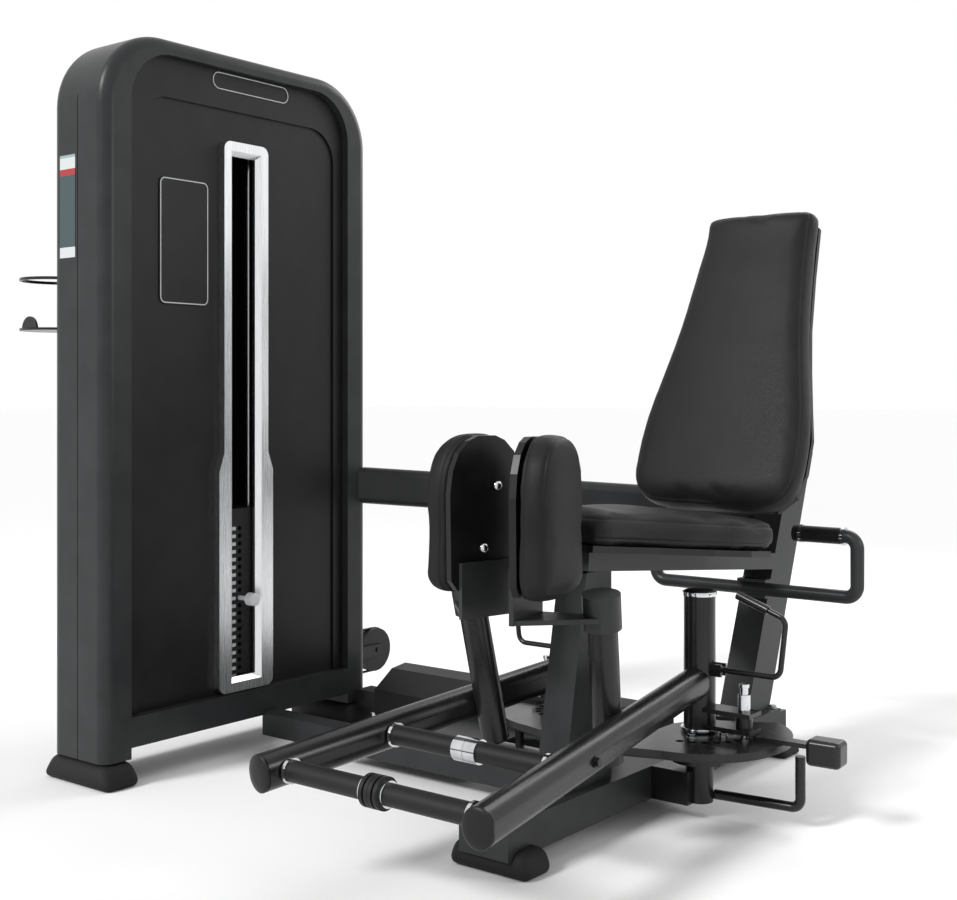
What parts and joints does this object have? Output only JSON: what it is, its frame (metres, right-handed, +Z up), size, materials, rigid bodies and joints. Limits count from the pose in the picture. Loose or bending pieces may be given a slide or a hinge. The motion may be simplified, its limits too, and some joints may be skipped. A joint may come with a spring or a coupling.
{
  "type": "inner and outer thigh machine",
  "caption": "Selectorised hip adductor and abductor machine: a weight tower beside a padded seat with two swinging thigh levers, foot pegs and thigh pads.",
  "frame": {"origin": "middle of the front foot's sole, on the floor", "axes": "+Z up; the user sits on X 0 and faces -Y; the weight tower stands on the -X side, at the user's right"},
  "size_m": [1.5757, 1.4748, 1.5],
  "materials": {
    "frame_paint": "satin",
    "panel_paint": "satin",
    "lever_paint": "satin",
    "rail_paint": "satin",
    "chrome": "polished",
    "trim_alloy": "brushed",
    "plate_iron": "matte",
    "rod_steel": "polished",
    "upholstery": "grained",
    "board_plastic": "matte",
    "cover_plastic": "textured",
    "foot_rubber": "matte",
    "sleeve_rubber": "grained",
    "pulley_nylon": "satin",
    "cable_coat": "glossy",
    "plate_trim": "satin",
    "label_film": "satin",
    "knob_plastic": "glossy"
  },
  "bodies": {
    "frame": {"tower_front_arch": "frame_paint", "tower_rear_arch": "frame_paint", "tower_front_panel": "panel_paint", "window_trim": "trim_alloy", "tower_rear_panel": "panel_paint", "tower_plates": "plate_trim", "side_label": "label_film", "tower_feet": "foot_rubber", "resting_plates": "plate_iron", "guide_rods": "rod_steel", "stack_bumpers": "foot_rubber", "pulleys": "pulley_nylon", "pulley_forks": "lever_paint", "tower_cable": "cable_coat", "bottle_holder": "lever_paint", "main_beam": "frame_paint", "cross_beams": "frame_paint", "floor_feet": "foot_rubber", "seat_post": "frame_paint", "front_column": "frame_paint", "seat_rail": "rail_paint", "seat_cushion": "upholstery", "seat_board": "board_plastic", "seat_brackets": "rail_paint", "handle_bar": "frame_paint", "hand_grips": "sleeve_rubber", "grip_rings": "chrome", "tower_brace": "frame_paint", "rear_cover": "cover_plastic", "tread_plate": "rail_paint", "pivot_housings": "lever_paint"},
    "stack": {"picked_plates": "plate_iron", "head_plate": "plate_iron", "stack_cable": "cable_coat"},
    "selector": {"selector_pin": "knob_plastic"},
    "backrest": {"backrest_cushion": "upholstery", "backrest_board": "board_plastic", "backrest_slide": "rail_paint"},
    "back_pin": {"backrest_pin": "foot_rubber"},
    "right_cam_body": {"right_cam": "lever_paint"},
    "right_lever_body": {"right_lever": "lever_paint", "right_chrome_fittings": "chrome", "right_foot_peg_rubbers": "sleeve_rubber", "right_pad_stem": "lever_paint"},
    "right_pad_body": {"right_pad_bracket": "rail_paint", "right_pad_cushion": "upholstery", "right_pad_board": "board_plastic"},
    "right_pin_body": {"right_range_pin": "chrome"},
    "right_handle_body": {"right_range_handle": "lever_paint"},
    "left_cam_body": {"left_cam": "lever_paint"},
    "left_lever_body": {"left_lever": "lever_paint", "left_chrome_fittings": "chrome", "left_foot_peg_rubbers": "sleeve_rubber", "left_pad_stem": "lever_paint"},
    "left_pad_body": {"left_pad_bracket": "rail_paint", "left_pad_cushion": "upholstery", "left_pad_board": "board_plastic"},
    "left_pin_body": {"left_range_pin": "chrome"},
    "left_handle_body": {"left_range_handle": "lever_paint"}
  },
  "joints": [
    {"name": "stack_lift", "type": "slide", "parent": "frame", "child": "stack", "axis": [0, 0, 1], "range_m": [0, 0.22], "deforming": ["stack_cable"]},
    {"name": "selector_pull", "type": "slide", "parent": "stack", "child": "selector", "axis": [1, 0, 0], "range_m": [0, 0.11]},
    {"name": "backrest_set", "type": "slide", "parent": "frame", "child": "backrest", "axis": [0, -0.9285, 0.3714], "range_m": [-0.06, 0.04]},
    {"name": "backrest_pin_pull", "type": "slide", "parent": "frame", "child": "back_pin", "axis": [1, 0, 0], "range_m": [0, 0.012], "stiffness_N_per_m": 600, "springref_m": -0.006},
    {"name": "left_cam_turn", "type": "hinge", "parent": "frame", "child": "left_cam_body", "pos_m": [0.125, 0.44, 0.15], "axis": [0, 0, 1], "range_deg": [0, 42.1]},
    {"name": "left_lever_start", "type": "hinge", "parent": "left_cam_body", "child": "left_lever_body", "pos_m": [0.125, 0.44, 0.25], "axis": [0, 0, 1], "range_deg": [0, 14]},
    {"name": "left_pad_swivel", "type": "hinge", "parent": "left_lever_body", "child": "left_pad_body", "pos_m": [0.13414, 0.09982, 0.39256], "axis": [0.0696, -0.1818, 0.9809], "range_deg": [0, 165]},
    {"name": "left_range_pin_lift", "type": "slide", "parent": "left_lever_body", "child": "left_pin_body", "axis": [0, 0, 1], "range_m": [-0.0101, 0.0031]},
    {"name": "left_range_handle_turn", "type": "hinge", "parent": "left_lever_body", "child": "left_handle_body", "pos_m": [0.166, 0.44, 0.274], "axis": [0, -1, 0], "range_deg": [-11.6, 3.4]},
    {"name": "right_cam_turn", "type": "hinge", "parent": "frame", "child": "right_cam_body", "pos_m": [-0.125, 0.44, 0.15], "axis": [0, 0, -1], "range_deg": [0, 42.1]},
    {"name": "right_lever_start", "type": "hinge", "parent": "right_cam_body", "child": "right_lever_body", "pos_m": [-0.125, 0.44, 0.25], "axis": [0, 0, -1], "range_deg": [0, 14]},
    {"name": "right_pad_swivel", "type": "hinge", "parent": "right_lever_body", "child": "right_pad_body", "pos_m": [-0.13414, 0.09982, 0.39256], "axis": [0.0696, 0.1818, -0.9809], "range_deg": [0, 165]},
    {"name": "right_range_pin_lift", "type": "slide", "parent": "right_lever_body", "child": "right_pin_body", "axis": [0, 0, 1], "range_m": [-0.0101, 0.0031]},
    {"name": "right_range_handle_turn", "type": "hinge", "parent": "right_lever_body", "child": "right_handle_body", "pos_m": [-0.166, 0.44, 0.274], "axis": [0, 1, 0], "range_deg": [-11.6, 3.4]}
  ],
  "couplings": [
    {"joint": "left_cam_turn", "follows": "stack_lift", "rad_per_m": 3.332},
    {"joint": "left_range_pin_lift", "follows": "left_range_handle_turn", "m_per_rad": 0.049},
    {"joint": "right_cam_turn", "follows": "stack_lift", "rad_per_m": 3.332},
    {"joint": "right_range_pin_lift", "follows": "right_range_handle_turn", "m_per_rad": 0.049}
  ]
}
